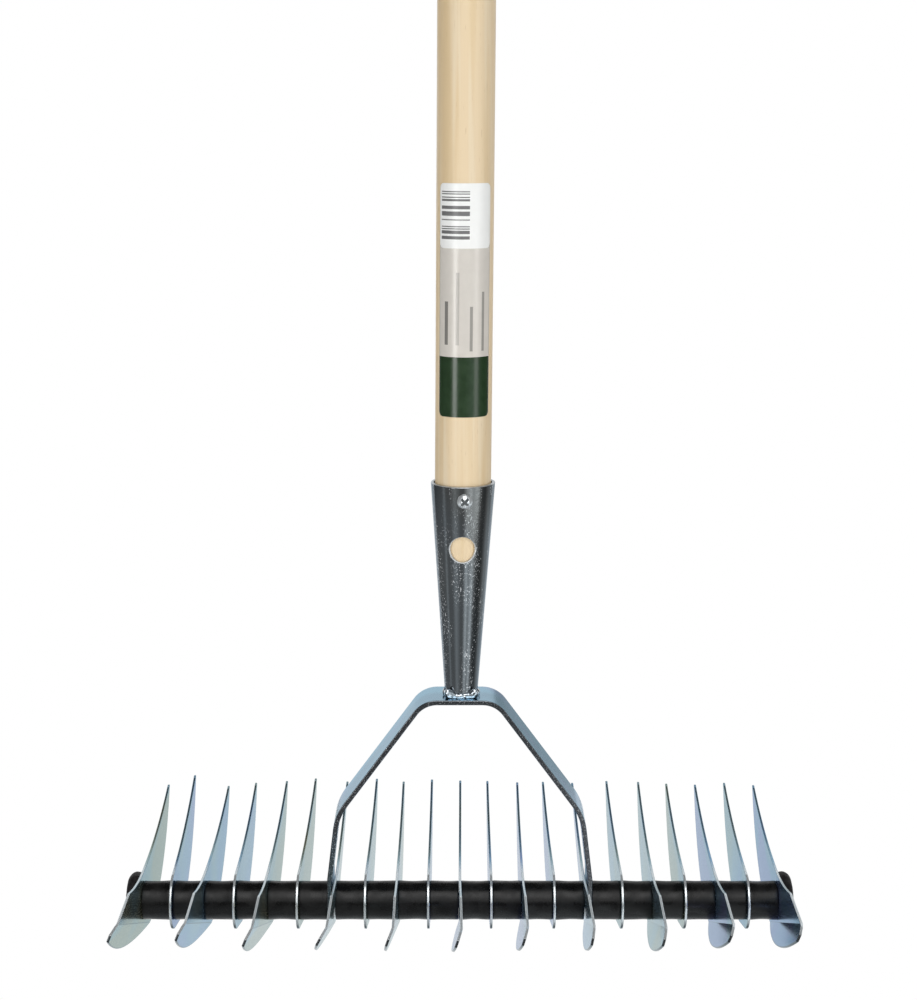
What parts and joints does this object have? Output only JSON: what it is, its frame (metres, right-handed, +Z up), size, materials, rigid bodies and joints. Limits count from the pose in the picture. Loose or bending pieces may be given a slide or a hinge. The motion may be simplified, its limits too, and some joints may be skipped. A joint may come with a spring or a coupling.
{
  "type": "thatch rake",
  "caption": "Long-handled thatch rake: sickle blades and bent front teeth on a sleeved bar, carried by a bent strip yoke and a tapered socket on a wooden handle.",
  "frame": {"origin": "centre of the hanging hole in the cap at the top of the handle", "axes": "+Z up the handle from the head, X along the bar of tines, +Y from the front teeth to the sickle tips"},
  "size_m": [0.3438, 0.1809, 1.7677],
  "materials": {
    "handle_wood": "satin varnish",
    "bright_zinc": "bright zinc plate",
    "zinc_strip": "zinc plate",
    "zinc_tine": "blue zinc passivation",
    "weld_metal": "plated weld bead",
    "sleeve_plastic": "semi-gloss",
    "cap_plastic": "fine texture",
    "label_white": "satin print",
    "label_grey": "satin print",
    "label_green": "satin print"
  },
  "bodies": {
    "root": {"handle": "handle_wood", "hanging_cap": "cap_plastic", "socket": "bright_zinc", "socket_screw": "bright_zinc", "socket_weld": "weld_metal", "yoke": "zinc_strip", "rod": "zinc_strip", "rod_nuts": "zinc_strip", "end_cap_left": "cap_plastic", "end_cap_right": "cap_plastic", "label_sticker": "label_white", "label_film": "label_grey", "label_panel": "label_green", "two_ended_tine_01": "zinc_tine", "sickle_tine_01": "zinc_tine", "two_ended_tine_02": "zinc_tine", "sickle_tine_02": "zinc_tine", "two_ended_tine_03": "zinc_tine", "sickle_tine_03": "zinc_tine", "two_ended_tine_04": "zinc_tine", "sickle_tine_04": "zinc_tine", "two_ended_tine_05": "zinc_tine", "sickle_tine_05": "zinc_tine", "two_ended_tine_06": "zinc_tine", "sickle_tine_06": "zinc_tine", "two_ended_tine_07": "zinc_tine", "sickle_tine_07": "zinc_tine", "two_ended_tine_08": "zinc_tine", "sickle_tine_08": "zinc_tine", "two_ended_tine_09": "zinc_tine", "sickle_tine_09": "zinc_tine", "two_ended_tine_10": "zinc_tine", "sickle_tine_10": "zinc_tine", "two_ended_tine_11": "zinc_tine", "sleeve_01": "sleeve_plastic", "sleeve_02": "sleeve_plastic", "sleeve_03": "sleeve_plastic", "sleeve_04": "sleeve_plastic", "sleeve_05": "sleeve_plastic", "sleeve_06": "sleeve_plastic", "sleeve_07": "sleeve_plastic", "sleeve_08": "sleeve_plastic", "sleeve_09": "sleeve_plastic", "sleeve_10": "sleeve_plastic", "sleeve_11": "sleeve_plastic", "sleeve_12": "sleeve_plastic", "sleeve_13": "sleeve_plastic", "sleeve_14": "sleeve_plastic", "sleeve_15": "sleeve_plastic", "sleeve_16": "sleeve_plastic", "sleeve_17": "sleeve_plastic", "sleeve_18": "sleeve_plastic", "sleeve_19": "sleeve_plastic", "sleeve_20": "sleeve_plastic"}
  },
  "joints": []
}
